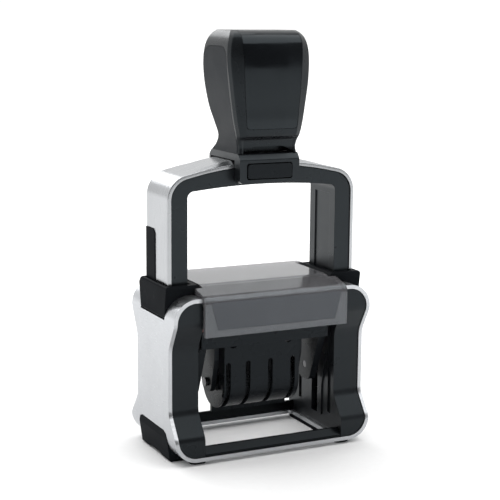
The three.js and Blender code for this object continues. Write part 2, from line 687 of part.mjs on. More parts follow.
function carriageFrame() {
  const half = DIE_HALF_WIDTH - 0.1;
  const plateTop = DIE_FACE - RUBBER - GAP;
  const plate = box([-half, half], [-DIE_HALF_DEPTH, DIE_HALF_DEPTH], [PLATE_BOTTOM, plateTop]);
  const wallInner = DIE_HALF_DEPTH - 2.4;
  const walls = [[-wallInner - 1.6, -wallInner], [wallInner, wallInner + 1.6]].map(
    (depth) => box([-CHEEK_OUTER, CHEEK_OUTER], depth, [-0.2, 4]));
  const parts = SIDES.flatMap(([, side]) => [cheek(side), bearing(side)]);
  const holes = SIDES.flatMap(([, side]) => [
    rodAlongX(PIN_HOLE_RADIUS, side * 20, side * 30, 0, 0),
    rodAlongX(1.3, side * 20, side * 30, 0, -13),
  ]);
  const shaftHole = rodAlongX(SHAFT_HOLE_RADIUS, -20, 20, 0, WHEEL_AXIS);
  return cut(unite(plate, ...walls, ...parts), dateOpening(DATE_WINDOW.frameHalfDepth), shaftHole, ...holes);
}

// J-shaped cover over the setting wheels, with a thumb slot for each wheel.
function wheelCover() {
  const [outer, inner] = [WHEEL_COVER_OUTER, WHEEL_COVER_INNER];
  const line = rounded([
    [-outer, WHEEL_COVER_TOP], [-outer, WHEEL_AXIS - outer, outer - 0.01], [2.4, WHEEL_AXIS - outer],
    [2.4, WHEEL_AXIS - inner], [-inner, WHEEL_AXIS - inner, inner - 0.01], [-inner, WHEEL_COVER_TOP],
  ], 10);
  const skin = alongX(line, -WHEEL_COVER_HALF_WIDTH, WHEEL_COVER_HALF_WIDTH);
  const lipHeights = [WHEEL_AXIS - outer - WHEEL_COVER_LIP, WHEEL_AXIS - inner];
  const lip = box([-WHEEL_COVER_HALF_WIDTH, WHEEL_COVER_HALF_WIDTH], [1, 2.4], lipHeights);
  const slots = WHEELS.flatMap(({ rim }) => [
    box([rim - SLOT_HALF_WIDTH, rim + SLOT_HALF_WIDTH], [-12, 0.6], [-30, SLOT_TOP - SLOT_HALF_WIDTH]),
    rodAlongY(SLOT_HALF_WIDTH, -12, -5, rim, SLOT_TOP - SLOT_HALF_WIDTH, 16),
  ]);
  const endOutline = rounded([
    [-outer, WHEEL_COVER_TOP], [-outer, WHEEL_AXIS - outer, outer - 0.01],
    [outer, WHEEL_AXIS - outer, outer - 0.01], [outer, WHEEL_AXIS + 3, 3], [2.4, WHEEL_COVER_TOP],
  ], 10);
  const ends = [-1, 1].map((side) => {
    const face = side * WHEEL_COVER_HALF_WIDTH;
    return alongX(endOutline, face - side * WHEEL_COVER_END, face);
  });
  const hole = rodAlongX(SHAFT_HOLE_RADIUS + 0.2, -20, 20, 0, WHEEL_AXIS, 16);
  return cut(unite(skin, lip, ...ends), ...slots, hole);
}

function bandBridge() {
  const outline = rounded([[-1.9, 0.5], [1.9, 0.5], [1.9, 6.78, 0.6], [-1.9, 6.78, 0.6]]);
  const bar = alongX(outline, DATE_WINDOW.low + 0.15, DATE_WINDOW.high - 0.15);
  const tie = box([-BEARING_INNER + GAP, BEARING_INNER - GAP], [-1.9, 1.9], [0.5, 3.3]);
  return bar.add(tie);
}

// A date band: a closed loop of rubber over the bridge and round its wheel's hub.
function dateBand({ bandLow, bandHigh }) {
  const outer = rounded([
    [2.95, 7.9, 0.9], [-2.95, 7.9, 0.9], [-6.6, -13], [-6.6, -21.6, 6.5], [6.6, -21.6, 6.5], [6.6, -13],
  ]);
  const inner = rounded([
    [2.05, 6.95, 0.4], [-2.05, 6.95, 0.4], [-5.7, -13], [-5.7, -20.7, 5.6], [5.7, -20.7, 5.6], [5.7, -13],
  ]);
  return alongX(outer, bandLow, bandHigh, [inner]);
}

// A setting wheel about its own axis: a toothed thumb rim and a hub that carries the band.
function settingWheel({ rim, bandLow, bandHigh }) {
  const outline = [];
  for (let i = 0; i < 2 * WHEEL_TEETH; i += 1) {
    const angle = Math.PI * i / WHEEL_TEETH;
    const r = i % 2 === 0 ? WHEEL_RADIUS : WHEEL_RADIUS - 0.7;
    outline.push(new THREE.Vector2(r * Math.cos(angle), r * Math.sin(angle)));
  }
  const disc = alongX(outline, rim - WHEEL_THICKNESS / 2, rim + WHEEL_THICKNESS / 2);
  const hub = rodAlongX(HUB_RADIUS, Math.min(rim, bandLow), Math.max(rim, bandHigh), 0, 0, 24);
  return disc.add(hub).subtract(rodAlongX(SHAFT_HOLE_RADIUS, -20, 20, 0, 0));
}

// ---------------------------------------------------------------- build

place(housing, 'outer_shell', outerShell(), aluminium());
SIDES.forEach(([label, side]) => {
  place(housing, `side_frame_${label}`, sideFrame(side), mattePlastic());
  place(housing, `leg_collar_${label}`, collar(side), mattePlastic());
  place(housing, `foot_clip_${label}`, footClip(side), mattePlastic());
});
place(housing, 'front_sill', sill(-1, FRONT_SILL_TOP), mattePlastic());
place(housing, 'rear_sill', sill(1, REAR_SILL_TOP), mattePlastic());
place(housing, 'top_deck', topDeck(), mattePlastic());
place(housing, 'index_cover', indexCover(), smokePlastic());
place(housing, 'index_card', indexCard(), cardBoard());
place(housing, 'ink_tray', inkTray(), mattePlastic());
place(housing, 'ink_felt_text', textFelt(), blueFelt());
place(housing, 'ink_felt_date', dateFelt(0), redFelt());

place(bow, 'bow_core', bowCore(), mattePlastic());
place(bow, 'bow_sheet', bowSheet(), aluminium());
place(bow, 'handle_saddle', saddle(), mattePlastic());
place(bow, 'lock_button', lockButton(), mattePlastic());
place(bow, 'handle_core', handleCore(), mattePlastic());
place(bow, 'handle_panel', frontPanel(), glossPlastic());
SIDES.forEach(([label, side]) => {
  place(bow, `handle_grip_${label}`, sideGrip(side), gripPlastic());
  place(bow, `bow_strip_${label}`, bowStrip(side), mattePlastic());
  const length = SPRING_BORE_TOP - WELL_FLOOR - 2 * LOOSE - SPRING_WIRE;
  const coil = coilGeometry(SPRING_RADIUS, SPRING_WIRE, length, SPRING_TURNS);
  const spring = place(bow, `return_spring_${label}`, coil, steel());
  spring.position.set(side * SPRING_X, SPRING_Y, WELL_FLOOR + LOOSE + SPRING_WIRE / 2);
});
const buttonCoil = coilGeometry(1.1, 0.4, 5, 4);
const buttonSpring = place(bow, 'lock_button_spring', buttonCoil, steel());
buttonSpring.rotation.x = Math.PI / 2;
buttonSpring.position.set(0, LOCK_SPRING_INNER - 0.25, LOCK_SPRING_Z);

place(carriage, 'carriage_frame', carriageFrame(), mattePlastic());
place(carriage, 'text_plate', textPlate(), rubber());
place(carriage, 'wheel_cover', wheelCover(), mattePlastic());
place(carriage, 'band_bridge', bandBridge(), mattePlastic());
const shaft = rodAlongX(SHAFT_RADIUS, -SHAFT_HALF_LENGTH, SHAFT_HALF_LENGTH, 0, WHEEL_AXIS);
place(carriage, 'wheel_shaft', shaft, steel());
SIDES.forEach(([label, side]) => {
  place(carriage, `pivot_pin_${label}`, rodAlongX(PIN_RADIUS, side * 21.7, side * PIN_END, 0, 0), steel());
  place(carriage, `cam_pin_${label}`, rodAlongX(1.2, side * 21.7, side * 25.3, 0, -13, 20), steel());
});
WHEELS.forEach((wheel) => {
  place(carriage, `${wheel.name}_band`, dateBand(wheel), bandRubber());
  const turner = place(carriage, `${wheel.name}_wheel`, settingWheel(wheel), mattePlastic());
  turner.position.z = WHEEL_AXIS;
});

export default stamp;
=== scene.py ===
"""Self-inking date stamp: detailed pieces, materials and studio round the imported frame.

Shapes are worked out in millimetres in the frame's own axes and scaled to metres when a piece is made.
"""

import math

import bmesh
import bpy
from mathutils import Matrix, Vector


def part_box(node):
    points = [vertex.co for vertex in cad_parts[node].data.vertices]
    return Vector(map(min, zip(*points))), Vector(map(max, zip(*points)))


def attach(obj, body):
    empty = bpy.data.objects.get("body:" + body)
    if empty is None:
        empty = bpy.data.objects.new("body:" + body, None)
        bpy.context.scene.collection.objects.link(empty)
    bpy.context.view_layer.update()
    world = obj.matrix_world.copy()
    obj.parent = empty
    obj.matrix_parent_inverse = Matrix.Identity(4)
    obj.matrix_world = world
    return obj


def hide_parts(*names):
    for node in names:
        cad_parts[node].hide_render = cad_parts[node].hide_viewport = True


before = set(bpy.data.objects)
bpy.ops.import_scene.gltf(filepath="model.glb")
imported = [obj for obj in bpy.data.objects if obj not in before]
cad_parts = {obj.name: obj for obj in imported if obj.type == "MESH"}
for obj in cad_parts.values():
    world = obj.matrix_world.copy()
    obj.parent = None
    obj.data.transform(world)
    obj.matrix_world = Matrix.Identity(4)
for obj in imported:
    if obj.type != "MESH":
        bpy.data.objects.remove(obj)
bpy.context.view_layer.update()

# ---------------------------------------------------------------- camera

# Fitted to the edges of the object in the photograph, in metres and radians.
CAMERA_EYE = (-0.19874, -0.40446, 0.14875)
CAMERA_YAW = 0.4558
CAMERA_PITCH = 0.1776
CAMERA_ROLL = 0.0079
CAMERA_LENS = 95.0
SENSOR_WIDTH = 36.0


def make_camera():
    data = bpy.data.cameras.new("camera")
    data.lens = CAMERA_LENS
    data.sensor_width = SENSOR_WIDTH
    data.clip_start = 0.01
    camera = bpy.data.objects.new("camera", data)
    turn = Matrix.Rotation(-CAMERA_YAW, 4, "Z") @ Matrix.Rotation(math.pi / 2 - CAMERA_PITCH, 4, "X")
    camera.matrix_world = Matrix.Translation(CAMERA_EYE) @ turn @ Matrix.Rotation(CAMERA_ROLL, 4, "Z")
    bpy.context.scene.collection.objects.link(camera)
    bpy.context.scene.camera = camera


make_camera()

# ---------------------------------------------------------------- dimensions, in millimetres

MM = 0.001


def extent(node):
    """Lowest and highest corner of a CAD node, in millimetres."""
    low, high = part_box(node)
    return [c / MM for c in low], [c / MM for c in high]


GAP = 0.12                        # between pieces that are fastened to each other
SHEET = 1.3                       # thickness of the aluminium
ARC_STEPS = 14                    # facets of a rounded corner
ROD_SIDES = 48
PAST_SIDE = 40.0                  # beyond the housing in X, for blanks and tools
PAST_FRONT = 22.0                 # beyond the housing in Y
BLANK_HALF_DEPTH = 21.0           # of the housing before its side outline is cut
ABOVE_HOUSING = 60.0
ABOVE_COLLARS = 62.0

shell_low, shell_high = extent("outer_shell")
HALF_WIDTH = shell_high[0]
BASE_HALF_DEPTH = shell_high[1]
SHELL_BOTTOM = shell_low[2]
SHELL_TOP = shell_high[2]
SHELL_CORNER = 8.0
BASE_TOP = 9.0                    # where the bend from the base to the waist starts
WAIST_BOTTOM = 17.0
WAIST_TOP = 39.2
WAIST_HALF_DEPTH = 14.0
SHOULDER_BOTTOM = 48.0
SHOULDER_HALF_DEPTH = 19.0
IMPRINT_HALF_WIDTH = 25.0         # the opening in the base that the die comes through
IMPRINT_HALF_DEPTH = 16.0

FRAME_INSET = 0.4                 # the side frames sit this far behind the sheet's edge
WINDOW_HALF_WIDTH = 26.0          # between the black side frames
WELL_INNER = 27.6                 # the leg wells in the side frames
WELL_HALF_DEPTH = 10.5
WELL_FLOOR = 4.6
CAM_SLOT_HALF_WIDTH = 2.15
CAM_SLOT_Z = (6.9, 40.1)
GROOVE_Y = (9.6, 11.8)            # the grooves down the side frames, in front and behind
GROOVE_Z = (9, 42)
LEDGE_Z = (45.9, 46.9)            # the ledge that the ink tray slides on
SILL_INNER = 16.1

collar_low, collar_high = extent("leg_collar_right")
COLLAR_INNER = collar_low[0]
COLLAR_BOTTOM = collar_low[2]
COLLAR_TOP = collar_high[2]
COLLAR_LOW_HALF_DEPTH = 10.4
COLLAR_HIGH_HALF_DEPTH = collar_high[1]

clip_low, clip_high = extent("foot_clip_right")
FOOT_INNER = clip_low[0]
FOOT_OUTER = 30.3
FOOT_HALF_DEPTH = clip_high[1]
FOOT_TOP = 1.18
CLIP_INNER = 30.0

cover_low, cover_high = extent("index_cover")
COVER_HALF_WIDTH = cover_high[0]
COVER_FRONT = -cover_low[1]
COVER_REAR = cover_high[1]
COVER_TOP = cover_high[2]
COVER_SKIRT_BOTTOM = cover_low[2]
COVER_SHOULDER = COVER_TOP - 2.5  # where the sloping front of the top meets the face
COVER_SLOPE_START = -9.5
COVER_END_BOTTOM = 54.8
COVER_WALL = 1.6
COVER_RADIUS = 3.0

sheet_low, sheet_high = extent("bow_sheet")
core_low, core_high = extent("bow_core")
LEG_OUTER = sheet_high[0]
LEG_HALF_DEPTH = sheet_high[1]
BOW_SHEET_BOTTOM = sheet_low[2]
CORE_OUTER = core_high[0]
CORE_HALF_DEPTH = core_high[1]
LEG_BOTTOM = core_low[2]
LEG_INNER = 27.9
ARCH_SPAN = 24.5                  # half the width over which the arch is curved
ARCH_STEP = 1.75                  # between the points of the arch's curve
ARCH_BOTTOM = 90.0                # the legs are below it and the arch is above
RIDGE = 1.3                       # the most that the sheet stands up along the arch's middle
STRIP_TOP = extent("bow_strip_right")[1][2]
PIVOT_HEIGHT = 37.7
PIN_HOLE_RADIUS = 1.9
SPRING_X = 31.0                   # the bores of the return springs
SPRING_Y = 5.0
SPRING_BORE_RADIUS = 1.95
SPRING_BORE_TOP = 78.0
LOCK_SPRING_Z = 95.7
LOCK_SPRING_BORE_RADIUS = 1.7

saddle_low, saddle_high = extent("handle_saddle")
button_low, button_high = extent("lock_button")
BUTTON_HALF_WIDTH = 8.2
BUTTON_BOTTOM = button_low[2] + 0.5
BUTTON_TOP = button_high[2] - 0.5
HANDLE_TOP = extent("handle_core")[1][2]

wheel_low, wheel_high = extent("day_wheel")
WHEEL_Z = (wheel_low[2] + wheel_high[2]) / 2
WHEEL_RADIUS = (wheel_high[2] - wheel_low[2]) / 2
WHEELS = [("day", -12.9), ("month", -5.4), ("decade", 3.2), ("year", 11.9)]
RIM_HALF_THICKNESS = 0.75
HUB_RADIUS = 5.5
SHAFT_HOLE_RADIUS = 1.58
TOOTH_DEPTH = 0.35
WHEEL_TEETH = 48

wheel_cover_low, wheel_cover_high = extent("wheel_cover")
WHEEL_COVER_HALF_WIDTH = wheel_cover_high[0]
WHEEL_COVER_TOP = wheel_cover_high[2]
WHEEL_COVER_OUTER = -wheel_cover_low[1]
WHEEL_COVER_INNER = WHEEL_COVER_OUTER - 1.1
WHEEL_COVER_END = 0.45            # thickness of its end plates
END_HOLE_RADIUS = 1.8
LIP_Y = (1.0, 2.4)
SLOT_HALF_WIDTH = 0.9
SLOT_TOP = PIVOT_HEIGHT - 7.5
SLOT_BACK = -1.2                  # how far under the curve of the cover its slots run
RIM_ROOM = 1.0                    # from the middle of a rim to the ribs beside it

# ---------------------------------------------------------------- mesh helpers

SIDES = [("left", -1), ("right", 1)]
ENDS = [("front", -1), ("rear", 1)]


def both_ways(half):
    """Limits at the same distance on either side of the middle."""
    return -half, half


def sideways(side, inner, outer=PAST_SIDE):
    """X limits from inner to outer on the left or the right side."""
    return sorted((side * inner, side * outer))


def rounded(corners, steps=ARC_STEPS):
    """A closed outline from corners (u, v, radius), with true arcs where there is a radius."""
    points = []
    count = len(corners)
    for i, corner in enumerate(corners):
        here = Vector(corner[:2])
        radius = corner[2] if len(corner) > 2 else 0
        if radius == 0:
            points.append(here)
            continue
        to_before = (Vector(corners[i - 1][:2]) - here).normalized()
        to_after = (Vector(corners[(i + 1) % count][:2]) - here).normalized()
        half = to_before.angle(to_after) / 2
        centre = here + (to_before + to_after).normalized() * (radius / math.sin(half))
        reach = radius / math.tan(half)
        start = here + to_before * reach - centre
        end = here + to_after * reach - centre
        sweep = math.atan2(start.cross(end), start.dot(end))
        for k in range(steps + 1):
            turned = start.copy()
            turned.rotate(Matrix.Rotation(sweep * k / steps, 2))
            points.append(centre + turned)
    return points


def rounded_box(u, v, radius, steps=ARC_STEPS):
    """A rectangle between two pairs of limits, with its corners rounded."""
    corners = [(u[0], v[0]), (u[1], v[0]), (u[1], v[1]), (u[0], v[1])]
    return rounded([(*corner, radius) for corner in corners], steps)


def mirrored(corners):
    """The corners mirrored in u, in the opposite order."""
    return [(-corner[0], *corner[1:]) for corner in reversed(corners)]


def new_object(name, bm):
    bmesh.ops.recalc_face_normals(bm, faces=bm.faces)
    mesh = bpy.data.meshes.new(name)
    bm.to_mesh(mesh)
    bm.free()
    obj = bpy.data.objects.new(name, mesh)
    bpy.context.scene.collection.objects.link(obj)
    return obj


PLACERS = {
    "x": lambda u, v, w: (w, u, v),
    "y": lambda u, v, w: (u, w, v),
    "z": lambda u, v, w: (u, v, w),
}


def prism(outline, axis, low, high):
    """An outline swept along an axis: (y, z) along x, (x, z) along y, (x, y) along z."""
    put = PLACERS[axis]
    rings = [[put(p[0], p[1], level) for p in outline] for level in (low, high)]
    return loft(rings)


def loft(rings):
    """A skin through rings of points, capped at both ends."""
    bm = bmesh.new()
    rows = [[bm.verts.new(p) for p in ring] for ring in rings]
    for row, nearby in zip(rows, rows[1:]):
        for j in range(len(row)):
            k = (j + 1) % len(row)
            bm.faces.new((row[j], row[k], nearby[k], nearby[j]))
    bm.faces.new(rows[0])
    bm.faces.new(rows[-1])
    return new_object("solid", bm)


def block(x, y, z):
    """A box between pairs of X, Y and Z limits, in either order."""
    corners = [(min(x), min(y)), (max(x), min(y)), (max(x), max(y)), (min(x), max(y))]
    return prism([Vector(c) for c in corners], "z", min(z), max(z))


def rod(axis, radius, low, high, u, v):
    """A cylinder along an axis, centred on (u, v) in the axes of that prism."""
    ring = []
    for i in range(ROD_SIDES):
        angle = 2 * math.pi * i / ROD_SIDES
        ring.append(Vector((u + radius * math.cos(angle), v + radius * math.sin(angle))))
    return prism(ring, axis, low, high)


def combine(base, tools, operation):
    """Applies a boolean of each tool to the base and removes the tools."""
    for tool in tools:
        modifier = base.modifiers.new(operation, "BOOLEAN")
        modifier.object = tool
        modifier.operation = operation
        modifier.solver = "EXACT"
        depsgraph = bpy.context.evaluated_depsgraph_get()
        mesh = bpy.data.meshes.new_from_object(base.evaluated_get(depsgraph))
        base.modifiers.clear()
        base.data = mesh
    for tool in tools:
        bpy.data.objects.remove(tool)
    return base


def cut(base, *tools):
    return combine(base, tools, "DIFFERENCE")


def join(base, *tools):
    return combine(base, tools, "UNION")


def common(base, *tools):
    return combine(base, tools, "INTERSECT")


WELD_DISTANCE = 0.002
FLAT = math.radians(0.3)          # faces that meet at less than this are merged
SHARP = math.radians(28)          # edges over this are rounded
CREASE = math.radians(55)         # edges over this stay sharp in the shading


def edge_angle(edge):
    """The angle across an edge, or none where it doesn't join two faces."""
    return edge.calc_face_angle(0) if len(edge.link_faces) == 2 else 0


def soften(obj, width, segments=2):
    """Merges doubled points and, where a width is given, flat faces, and rounds the sharp edges."""
    bm = bmesh.new()
    bm.from_mesh(obj.data)
    bmesh.ops.remove_doubles(bm, verts=bm.verts, dist=WELD_DISTANCE)
    if width > 0:
        bmesh.ops.dissolve_limit(bm, angle_limit=FLAT, verts=bm.verts, edges=bm.edges)
        edges = [edge for edge in bm.edges if edge_angle(edge) > SHARP]
        bmesh.ops.bevel(
            bm, geom=edges, offset=width, offset_type="OFFSET", segments=segments, profile=0.5,
            affect="EDGES", clamp_overlap=True)
    bmesh.ops.recalc_face_normals(bm, faces=bm.faces)
    bm.to_mesh(obj.data)
    bm.free()


def smooth_shading(obj):
    """Shades the faces smooth up to the creases, weighted by their area."""
    bm = bmesh.new()
    bm.from_mesh(obj.data)
    for face in bm.faces:
        face.smooth = True
    for edge in bm.edges:
        edge.smooth = edge_angle(edge) < CREASE
    bm.to_mesh(obj.data)
    bm.free()
    modifier = obj.modifiers.new("normals", "WEIGHTED_NORMAL")
    modifier.keep_sharp = True


def finish_piece(obj, name, body, nodes, material, bevel=0.3, segments=2):
    """Makes a finished piece of a solid: soft edges, metres, a finish and a body to ride on."""
    soften(obj, bevel, segments)
    obj.data.transform(Matrix.Scale(MM, 4))
    smooth_shading(obj)
    obj.name = name
    obj.data.name = name
    obj.data.materials.clear()
    obj.data.materials.append(material)
    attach(obj, body)
    if nodes:
        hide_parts(*nodes)
    return obj


# ---------------------------------------------------------------- materials


def map_range(nodes, inputs, outputs):
    """A node that maps a pair of input values onto a pair of output values."""
    node = nodes.new("ShaderNodeMapRange")
    node.inputs["From Min"].default_value = inputs[0]
    node.inputs["From Max"].default_value = inputs[1]
    node.inputs["To Min"].default_value = outputs[0]
    node.inputs["To Max"].default_value = outputs[1]
    return node


NOISE_RANGE = (0.3, 0.7)          # where most of a noise's values lie


class Finish:
    """A node material on a Principled shader, with its texture space in object metres."""

    def __init__(self, name, **constants):
        self.material = bpy.data.materials.new(name)
        self.material.use_nodes = True
        self.nodes = self.material.node_tree.nodes
        self.links = self.material.node_tree.links
        self.shader = self.nodes["Principled BSDF"]
        for socket, value in constants.items():
            self.shader.inputs[socket.replace("_", " ")].default_value = value
        self.space = self.nodes.new("ShaderNodeTexCoord").outputs["Object"]

    def noise(self, scale, detail=3.0, stretch=(1, 1, 1), roughness=0.55):
        mapping = self.nodes.new("ShaderNodeMapping")
        mapping.inputs["Scale"].default_value = stretch
        self.links.new(self.space, mapping.inputs["Vector"])
        noise = self.nodes.new("ShaderNodeTexNoise")
        noise.inputs["Scale"].default_value = scale
        noise.inputs["Detail"].default_value = detail
        noise.inputs["Roughness"].default_value = roughness
        self.links.new(mapping.outputs["Vector"], noise.inputs["Vector"])
        return noise.outputs["Fac"]

    def spread(self, factor, low, high, socket):
        """Maps a noise onto a range of a shader input."""
        node = map_range(self.nodes, NOISE_RANGE, (low, high))
        self.links.new(factor, node.inputs["Value"])
        self.links.new(node.outputs["Result"], self.shader.inputs[socket])

    def tint(self, factor, dark, light):
        """Maps a noise onto a range of base colours."""
        ramp = self.nodes.new("ShaderNodeValToRGB")
        for stop, position, color in zip(ramp.color_ramp.elements, NOISE_RANGE, (dark, light)):
            stop.position = position
            stop.color = (*color, 1)
        self.links.new(factor, ramp.inputs["Fac"])
        self.links.new(ramp.outputs["Color"], self.shader.inputs["Base Color"])

    def bump(self, layers):
        """Adds up bump layers, each a noise, a strength and a height in metres."""
        previous = None
        for factor, strength, distance in layers:
            node = self.nodes.new("ShaderNodeBump")
            node.inputs["Strength"].default_value = strength
            node.inputs["Distance"].default_value = distance
            self.links.new(factor, node.inputs["Height"])
            if previous is not None:
                self.links.new(previous, node.inputs["Normal"])
            previous = node.outputs["Normal"]
        self.links.new(previous, self.shader.inputs["Normal"])


def shade(color, factor):
    return tuple(channel * factor for channel in color)


def brushed_metal(name, color, roughness, stretch, streak=0.06):
    finish = Finish(name, Metallic=1.0)
    streaks = finish.noise(1.0, 4, stretch)
    clouds = finish.noise(55, 2)
    finish.tint(clouds, shade(color, 0.93), color)
    finish.spread(streaks, roughness - streak, roughness + streak, "Roughness")
    finish.bump([(streaks, 3 * streak, 0.00001)])
    return finish.material


def plastic(name, color, roughness, grain=0.25, grain_scale=5200, **constants):
    finish = Finish(name, Specular_Tint=(0.8, 0.93, 1.0, 1.0), **constants)
    clouds = finish.noise(90, 3)
    pores = finish.noise(grain_scale, 2)
    finish.tint(clouds, shade(color, 0.86), shade(color, 1.12))
    finish.spread(clouds, roughness - 0.05, roughness + 0.06, "Roughness")
    finish.bump([(pores, grain, 0.00003), (clouds, 0.05, 0.0003)])
    return finish.material


def felt(name, color):
    finish = Finish(name, Sheen_Weight=0.5, Sheen_Roughness=0.6)
    fibres = finish.noise(900, 6, (1, 1, 1), 0.7)
    patches = finish.noise(140, 3)
    finish.tint(patches, shade(color, 0.7), shade(color, 1.25))
    finish.spread(fibres, 0.85, 1.0, "Roughness")
    finish.bump([(fibres, 0.8, 0.0003), (patches, 0.3, 0.0004)])
    return finish.material


ALUMINIUM = brushed_metal("aluminium", (0.49, 0.503, 0.52), 0.33, (30, 400, 2200), 0.07)
ALUMINIUM_BOW = brushed_metal("bow_aluminium", (0.38, 0.39, 0.402), 0.26, (30, 2600, 30), 0.02)
DARK_STEEL = brushed_metal("dark_steel", (0.12, 0.12, 0.125), 0.3, (900, 60, 60))
STEEL = brushed_metal("steel", (0.62, 0.62, 0.63), 0.25, (900, 60, 60))
HOUSING_BLACK = plastic("housing_black", (0.009, 0.0099, 0.0113), 0.32, Specular_IOR_Level=0.22)
COLLAR_BLACK = plastic("collar_black", (0.0105, 0.0118, 0.0135), 0.24, Specular_IOR_Level=0.004)
BUTTON_BLACK = plastic("button_black", (0.007, 0.0078, 0.009), 0.28, 0.05, Specular_IOR_Level=0.13)
SILL_BLACK = plastic("sill_black", (0.005, 0.0056, 0.0066), 0.2, 0.05, Specular_IOR_Level=0.1)
BOW_BLACK = plastic("bow_black", (0.009, 0.0099, 0.0113), 0.3, Specular_IOR_Level=0.3)
HANDLE_BLACK = plastic("handle_black", (0.006, 0.0065, 0.0075), 0.26, 0.05, Specular_IOR_Level=0.24)
GRIP = plastic("grip_rubber", (0.011, 0.0125, 0.015), 0.44, 0.5, 3600, Specular_IOR_Level=0.11)
GLOSS = plastic("panel_gloss", (0.004, 0.0045, 0.0055), 0.14, 0.02, 2500, Specular_IOR_Level=0.3)
CARRIAGE = plastic("carriage_plastic", (0.009, 0.0102, 0.012), 0.27, Specular_IOR_Level=0.13)
WHEEL = plastic("wheel_plastic", (0.010, 0.0105, 0.012), 0.5, Specular_IOR_Level=0.25)
DIE = plastic("die_rubber", (0.2, 0.055, 0.04), 0.7, 0.4, 3000)
BAND = plastic("band_rubber", (0.035, 0.035, 0.038), 0.75, 0.5, 3000)
CARD = plastic("card_stock", (0.03, 0.0285, 0.032), 0.6, 0.1, 2600)
SMOKE = plastic("smoke_cover", (0.33, 0.325, 0.34), 0.09, 0.005, 2500, Transmission_Weight=0.75, IOR=1.49)
PANE = plastic("smoke_pane", (0.11, 0.105, 0.117), 0.08, 0.005, 2500, Transmission_Weight=0.6, IOR=1.49)
BLUE_FELT = felt("blue_felt", (0.02, 0.03, 0.12))
RED_FELT = felt("red_felt", (0.2, 0.02, 0.025))

# ---------------------------------------------------------------- housing


def front_outline(inset):
    """The housing's outline from the front, or a smaller one inside it."""
    x = HALF_WIDTH - inset
    bottom = SHELL_BOTTOM + inset
    top = SHELL_TOP - inset
    return rounded_box(both_ways(x), (bottom, top), SHELL_CORNER - inset)


def side_outline(inset):
    """The housing's outline from the side: a wide base, a waist and shoulders."""
    base = BASE_HALF_DEPTH - inset
    waist = WAIST_HALF_DEPTH - inset
    shoulder = SHOULDER_HALF_DEPTH - inset
    rear = [
        (base, 0), (base, BASE_TOP, 4), (waist, WAIST_BOTTOM, 5), (waist, WAIST_TOP, 8),
        (shoulder, SHOULDER_BOTTOM, 5), (shoulder, 58),
    ]
    return rounded(rear + mirrored(rear))


def collar_outline(grow):
    """A collar from the side, or the room for it."""
    low = COLLAR_LOW_HALF_DEPTH + grow
    high = COLLAR_HIGH_HALF_DEPTH + grow
    return rounded([
        (-low, COLLAR_BOTTOM - grow), (low, COLLAR_BOTTOM - grow), (high, COLLAR_TOP - 2.2, 0.6),
        (high - 1.8, COLLAR_TOP + grow, 0.6), (-high + 0.3, COLLAR_TOP + grow), (-high, COLLAR_TOP - 0.9),
    ])


def clip_outline(grow):
    """A foot clip from the side, or the room for it."""
    half = [(12.4 + grow, -1), (12.7 + grow, 8.1, 1.5), (11.7 + grow, 9.8 + grow, 1.0), (9.7, 10.6 + grow)]
    return rounded(half + mirrored(half))


def make_shell():
    blank = prism(front_outline(0), "y", *both_ways(BLANK_HALF_DEPTH))
    sheet = cut(blank, prism(front_outline(SHEET), "y", *both_ways(PAST_FRONT)))
    sheet = common(sheet, prism(side_outline(0), "x", *both_ways(PAST_SIDE)))
    opening = rounded_box(both_ways(IMPRINT_HALF_WIDTH), both_ways(IMPRINT_HALF_DEPTH), 1.5)
    tools = [
        block(both_ways(COVER_HALF_WIDTH + 0.2), both_ways(PAST_FRONT), (50, ABOVE_HOUSING)),
        prism(opening, "z", 0, 4),
    ]
    for _, side in SIDES:
        tools.append(prism(collar_outline(GAP), "x", *sideways(side, WINDOW_HALF_WIDTH)))
        tools.append(prism(clip_outline(GAP), "x", *sideways(side, CLIP_INNER - GAP)))
    finish_piece(
        cut(sheet, *tools), "housing_sheet", "housing", ["outer_shell"],
        ALUMINIUM, 0.32, 3)


def make_side_frame(label, side):
    body = common(
        prism(front_outline(SHEET + GAP), "y", *both_ways(BLANK_HALF_DEPTH)),
        prism(side_outline(FRAME_INSET), "x", *both_ways(PAST_SIDE)),
        block(sideways(side, WINDOW_HALF_WIDTH), both_ways(PAST_FRONT), (0, ABOVE_HOUSING)))
    cover_edge = side * (COVER_HALF_WIDTH + 0.25)
    grooves = [
        block(sideways(side, 25, 26.6), [end * y for y in GROOVE_Y], GROOVE_Z) for _, end in ENDS]
    cut(
        body,
        block(sideways(side, WELL_INNER), both_ways(WELL_HALF_DEPTH), (WELL_FLOOR, ABOVE_HOUSING)),
        block(sideways(side, 25, 29), both_ways(CAM_SLOT_HALF_WIDTH), CAM_SLOT_Z),
        block((0, cover_edge), (-PAST_FRONT, -17.6), (43, ABOVE_HOUSING)),
        block((0, cover_edge), both_ways(PAST_FRONT), (COVER_END_BOTTOM - 0.2, ABOVE_HOUSING)),
        prism(collar_outline(GAP), "x", *sideways(side, WINDOW_HALF_WIDTH)),
        *grooves)
    rail = rounded([(-8.6, 30), (-7.0, 30), (-4.4, 18), (-4.4, 7), (-5.8, 7), (-5.8, 18)])
    join(
        body,
        block(sideways(side, 24.85, 26.4), (-16.5, 17), LEDGE_Z),
        prism(rail, "x", *sideways(side, 25.5, 26.4)))
    finish_piece(
        body, f"side_frame_piece_{label}", "housing", [f"side_frame_{label}"],
        HOUSING_BLACK, 0.42, 3)


